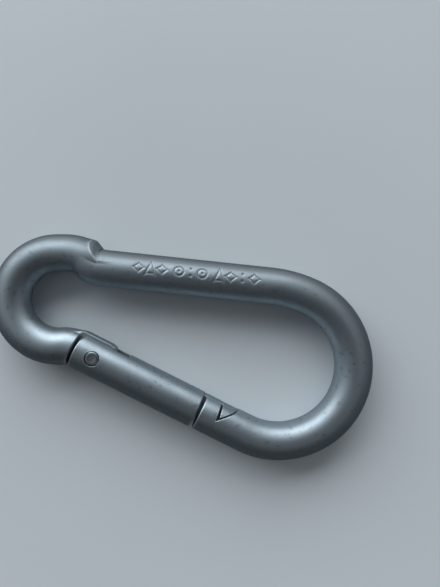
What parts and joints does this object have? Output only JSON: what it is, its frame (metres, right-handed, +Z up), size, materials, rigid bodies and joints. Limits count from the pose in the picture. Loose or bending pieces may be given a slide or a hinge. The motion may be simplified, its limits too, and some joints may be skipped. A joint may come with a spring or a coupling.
{
  "type": "snap hook",
  "caption": "Pear-shaped wire snap hook (carabiner) with a small eye, a joggled spine, a large bow and a sprung gate that latches in a slotted nose.",
  "frame": {"origin": "centre of the underside of the bounding box, with the hook lying flat on its side", "axes": "+X along the straight spine from the small eye to the large bow, +Y from the gate towards the spine, +Z up through the wire's thickness, along the hinge rivet"},
  "size_m": [0.08, 0.042, 0.0077],
  "materials": {
    "zinc_steel": "bright zinc plating on formed steel wire, satin, cool blue-grey",
    "rivet_steel": "zinc-plated, slightly smoother than the wire",
    "spring_steel": "bare drawn spring wire"
  },
  "bodies": {
    "hook": {"hook_body": "zinc_steel"},
    "gate": {"gate": "zinc_steel", "hinge_rivet": "rivet_steel", "gate_spring": "spring_steel"},
    "plunger": {"spring_plunger": "rivet_steel"}
  },
  "joints": [
    {"name": "gate_hinge", "type": "hinge", "parent": "hook", "child": "gate", "pos_m": [-0.01739, -0.00361, 0.00385], "axis": [0, 0, 1], "range_deg": [0, 35], "stiffness_Nm_per_rad": 0.0217, "springref_deg": -71.62},
    {"name": "plunger_slide", "type": "slide", "parent": "gate", "child": "plunger", "axis": [0.9367, -0.3502, 0], "range_m": [0, 0.0008], "deforming": ["gate_spring"]}
  ],
  "couplings": [
    {"joint": "plunger_slide", "follows": "gate_hinge", "m_per_rad": 0.0012}
  ]
}
